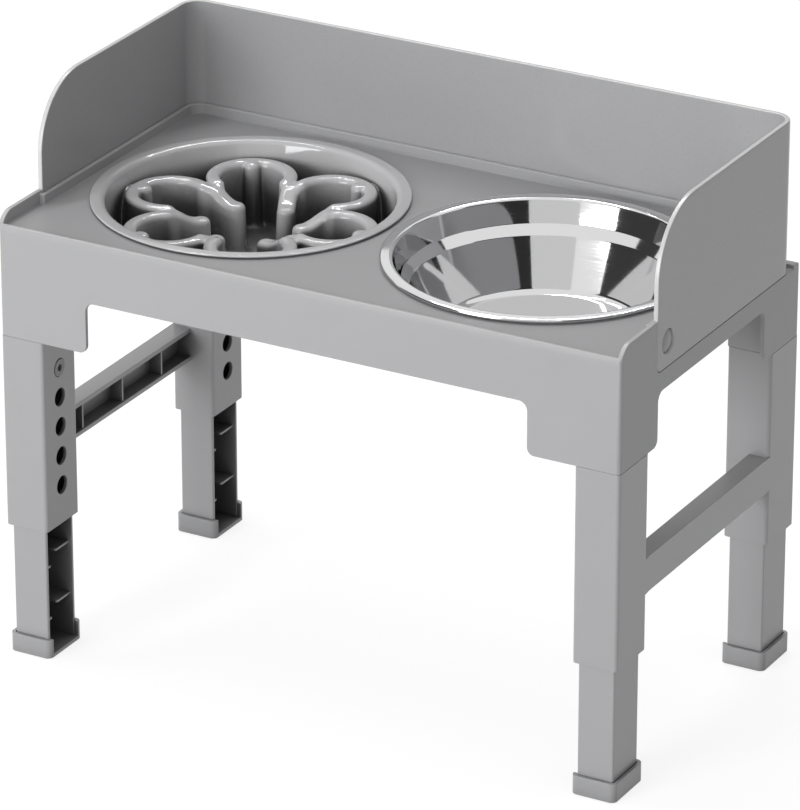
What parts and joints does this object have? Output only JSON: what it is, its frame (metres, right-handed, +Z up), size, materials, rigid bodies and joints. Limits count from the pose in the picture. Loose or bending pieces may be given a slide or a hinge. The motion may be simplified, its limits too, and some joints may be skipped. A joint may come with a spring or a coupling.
{
  "type": "dog feeder stand",
  "caption": "Raised feeder stand for a dog: moulded tray with splash guard, slow-feeder bowl and steel bowl on plug-in frames with telescopic legs.",
  "frame": {"origin": "on the floor, under the middle of the stand's box, legs fully in", "axes": "+X along the table's length towards the steel bowl, +Y to the back with the splash guard, +Z up"},
  "size_m": [0.43, 0.241, 0.3652],
  "materials": {
    "body": "satin moulded grey plastic",
    "guard": "satin moulded grey plastic",
    "feeder": "glossy moulded grey plastic",
    "steel": "polished stainless steel",
    "foot": "satin moulded grey plastic",
    "button": "moulded grey plastic",
    "spring": "spring wire"
  },
  "bodies": {
    "table": {"table_top": "body", "splash_guard": "guard"},
    "slow_feeder": {"slow_feeder_bowl": "feeder", "slow_feeder_lobe_1": "feeder", "slow_feeder_lobe_2": "feeder", "slow_feeder_lobe_3": "feeder", "slow_feeder_lobe_4": "feeder", "slow_feeder_lobe_5": "feeder", "slow_feeder_lobe_6": "feeder"},
    "steel_dish": {"steel_bowl": "steel"},
    "left_frame": {"left_leg_frame": "body"},
    "right_frame": {"right_leg_frame": "body"},
    "front_left_leg": {"front_left_leg": "body", "front_left_foot": "foot", "front_left_spring": "spring"},
    "front_left_button": {"front_left_button": "button"},
    "front_right_leg": {"front_right_leg": "body", "front_right_foot": "foot", "front_right_spring": "spring"},
    "front_right_button": {"front_right_button": "button"},
    "rear_left_leg": {"rear_left_leg": "body", "rear_left_foot": "foot", "rear_left_spring": "spring"},
    "rear_left_button": {"rear_left_button": "button"},
    "rear_right_leg": {"rear_right_leg": "body", "rear_right_foot": "foot", "rear_right_spring": "spring"},
    "rear_right_button": {"rear_right_button": "button"}
  },
  "joints": [
    {"name": "slow_feeder_lift", "type": "slide", "parent": "table", "child": "slow_feeder", "axis": [0, 0, 1], "range_m": [0, 0.08]},
    {"name": "steel_bowl_lift", "type": "slide", "parent": "table", "child": "steel_dish", "axis": [0, 0, 1], "range_m": [0, 0.08]},
    {"name": "left_frame_pull", "type": "slide", "parent": "table", "child": "left_frame", "axis": [0, 0, -1], "range_m": [0, 0.03]},
    {"name": "right_frame_pull", "type": "slide", "parent": "table", "child": "right_frame", "axis": [0, 0, -1], "range_m": [0, 0.03]},
    {"name": "front_left_leg_slide", "type": "slide", "parent": "left_frame", "child": "front_left_leg", "axis": [0, 0, -1], "range_m": [0, 0.08], "deforming": ["front_left_button"]},
    {"name": "front_left_button_press", "type": "slide", "parent": "front_left_leg", "child": "front_left_button", "axis": [-1, 0, 0], "range_m": [0, 0.0036], "stiffness_N_per_m": 400, "deforming": ["front_left_spring"]},
    {"name": "front_right_leg_slide", "type": "slide", "parent": "right_frame", "child": "front_right_leg", "axis": [0, 0, -1], "range_m": [0, 0.08], "deforming": ["front_right_button"]},
    {"name": "front_right_button_press", "type": "slide", "parent": "front_right_leg", "child": "front_right_button", "axis": [1, 0, 0], "range_m": [0, 0.0036], "stiffness_N_per_m": 400, "deforming": ["front_right_spring"]},
    {"name": "rear_left_leg_slide", "type": "slide", "parent": "left_frame", "child": "rear_left_leg", "axis": [0, 0, -1], "range_m": [0, 0.08], "deforming": ["rear_left_button"]},
    {"name": "rear_left_button_press", "type": "slide", "parent": "rear_left_leg", "child": "rear_left_button", "axis": [-1, 0, 0], "range_m": [0, 0.0036], "stiffness_N_per_m": 400, "deforming": ["rear_left_spring"]},
    {"name": "rear_right_leg_slide", "type": "slide", "parent": "right_frame", "child": "rear_right_leg", "axis": [0, 0, -1], "range_m": [0, 0.08], "deforming": ["rear_right_button"]},
    {"name": "rear_right_button_press", "type": "slide", "parent": "rear_right_leg", "child": "rear_right_button", "axis": [1, 0, 0], "range_m": [0, 0.0036], "stiffness_N_per_m": 400, "deforming": ["rear_right_spring"]}
  ]
}
